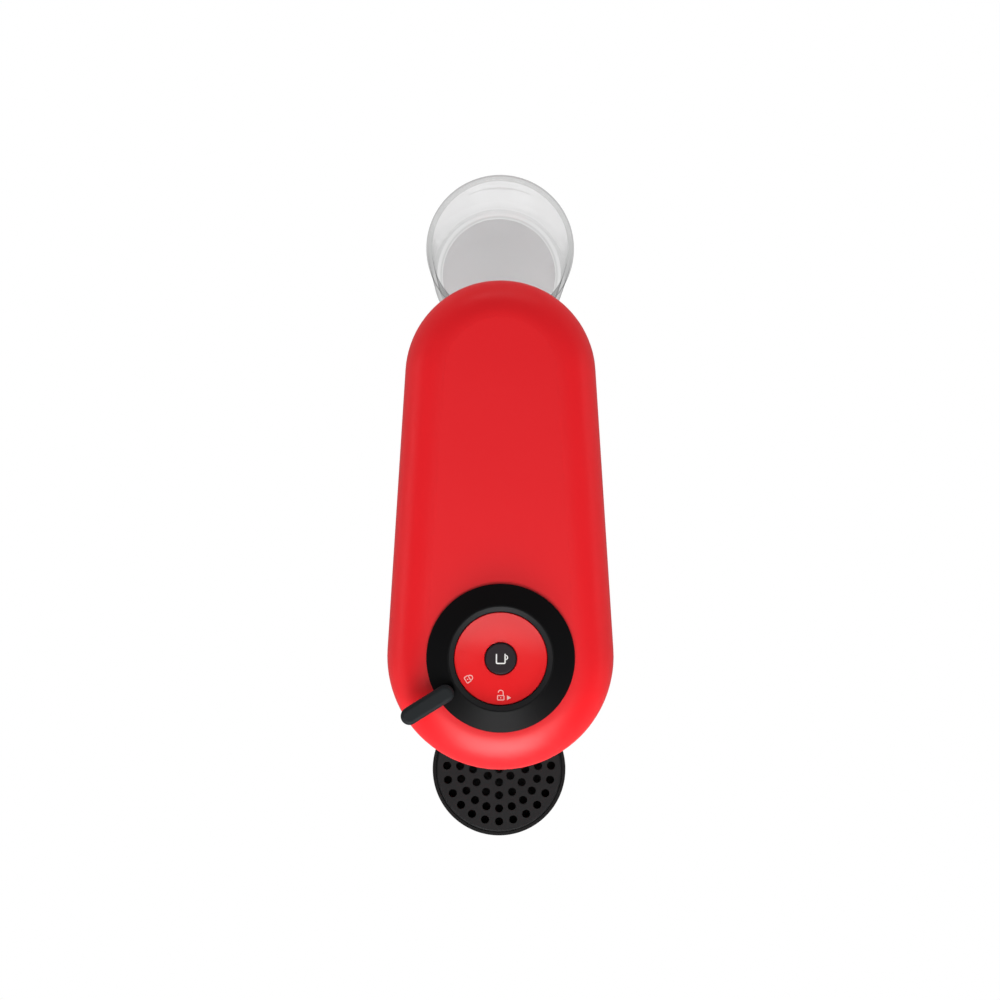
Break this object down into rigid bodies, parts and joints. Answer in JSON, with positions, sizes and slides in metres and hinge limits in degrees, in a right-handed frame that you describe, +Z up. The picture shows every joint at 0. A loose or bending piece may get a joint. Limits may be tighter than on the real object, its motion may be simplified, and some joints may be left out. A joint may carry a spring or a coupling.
{
  "type": "pod coffee machine",
  "caption": "Slim pod coffee machine: pill-shaped hinged head with a lock ring and start button on a column, clear round water tank behind, round drip tray in front.",
  "frame": {"origin": "on the table, under the middle of the machine's box", "axes": "+Z up, the front of the machine (drip tray) towards -Y, the water tank towards +Y"},
  "size_m": [0.136, 0.4258, 0.25],
  "materials": {
    "red_abs": "satin",
    "red_acrylic": "polished",
    "black_abs": "satin",
    "grid_plastic": "fine texture",
    "dark_polymer": "moulded",
    "clear_plastic": "polished",
    "grey_plastic": "moulded",
    "rubber": "matte",
    "silicone_hose": "satin",
    "steel": "machined",
    "winding": "laminated",
    "pump_body": "moulded",
    "heater_alloy": "cast",
    "circuit_board": "solder mask"
  },
  "bodies": {
    "base": {"body_shell": "red_abs", "base_plate": "dark_polymer", "rubber_feet": "rubber", "base_screws": "steel", "inner_frame": "dark_polymer", "brew_deck": "dark_polymer", "coffee_collector": "dark_polymer", "coffee_outlet": "dark_polymer", "motor_carrier": "dark_polymer", "motor_housing": "steel", "motor_stator": "winding", "shaft_bearings": "steel", "capsule_chute": "dark_polymer", "code_reader": "dark_polymer", "tank_dock": "grey_plastic", "tank_socket": "grey_plastic", "socket_seal": "rubber", "flow_meter": "grey_plastic", "water_pump": "pump_body", "pump_cradle": "rubber", "water_heater": "heater_alloy", "heater_stand": "steel", "control_board": "circuit_board", "suction_hose": "silicone_hose", "pressure_hose": "silicone_hose", "hot_hose": "silicone_hose", "cord_gland": "dark_polymer", "hinge_bracket": "steel", "hinge_pin": "steel", "water_swivel": "grey_plastic"},
    "lid": {"lid_shell": "red_abs", "lid_cover": "dark_polymer", "lid_screws": "steel", "hinge_arm": "dark_polymer", "lid_swivel": "grey_plastic", "lid_hose": "silicone_hose", "injector_hub": "dark_polymer", "injector_bearing": "steel", "control_disc": "red_acrylic", "lid_board": "circuit_board", "button_spring": "rubber"},
    "lock": {"lock_ring": "black_abs", "lock_lever": "black_abs", "lock_collar": "dark_polymer"},
    "button": {"start_button": "black_abs"},
    "spinner": {"capsule_holder": "dark_polymer", "drive_shaft": "steel", "motor_rotor": "winding"},
    "injector": {"injector_plate": "dark_polymer", "injector_needle": "steel", "capsule_seal": "rubber"},
    "container": {"capsule_container": "black_abs"},
    "tray": {"drip_tray": "black_abs", "tray_pads": "rubber"},
    "grid": {"drip_grid": "grid_plastic"},
    "tank": {"water_tank": "clear_plastic", "tank_spigot": "grey_plastic", "valve_spring": "steel"},
    "valve": {"valve_plunger": "grey_plastic"}
  },
  "joints": [
    {"name": "lid_hinge", "type": "hinge", "parent": "base", "child": "lid", "pos_m": [0, 0.1335, 0.1862], "axis": [-1, 0, 0], "range_deg": [0, 50]},
    {"name": "lock_turn", "type": "hinge", "parent": "lid", "child": "lock", "pos_m": [0, -0.0825, 0.2372], "axis": [0, 0, 1], "range_deg": [0, 58]},
    {"name": "button_press", "type": "slide", "parent": "lid", "child": "button", "axis": [0, 0, -1], "range_m": [0, 0.0015], "stiffness_N_per_m": 600, "springref_m": -0.001, "deforming": ["button_spring"]},
    {"name": "holder_spin", "type": "hinge", "parent": "base", "child": "spinner", "pos_m": [0, -0.0825, 0.17], "axis": [0, 0, 1], "continuous": true},
    {"name": "injector_spin", "type": "hinge", "parent": "lid", "child": "injector", "pos_m": [0, -0.0825, 0.2], "axis": [0, 0, 1], "continuous": true},
    {"name": "container_slide", "type": "slide", "parent": "base", "child": "container", "axis": [0, -1, 0], "range_m": [0, 0.12]},
    {"name": "tray_slide", "type": "slide", "parent": "base", "child": "tray", "axis": [0, -1, 0], "range_m": [0, 0.125]},
    {"name": "grid_lift", "type": "slide", "parent": "tray", "child": "grid", "axis": [0, 0, 1], "range_m": [0, 0.04]},
    {"name": "tank_slide", "type": "slide", "parent": "base", "child": "tank", "axis": [0, 1, 0], "range_m": [0, 0.1]},
    {"name": "valve_travel", "type": "slide", "parent": "tank", "child": "valve", "axis": [0, 1, 0], "range_m": [0, 0.0015], "stiffness_N_per_m": 200, "springref_m": -0.003, "deforming": ["valve_spring"]}
  ],
  "couplings": [
    {"joint": "injector_spin", "follows": "holder_spin", "ratio": 1}
  ]
}
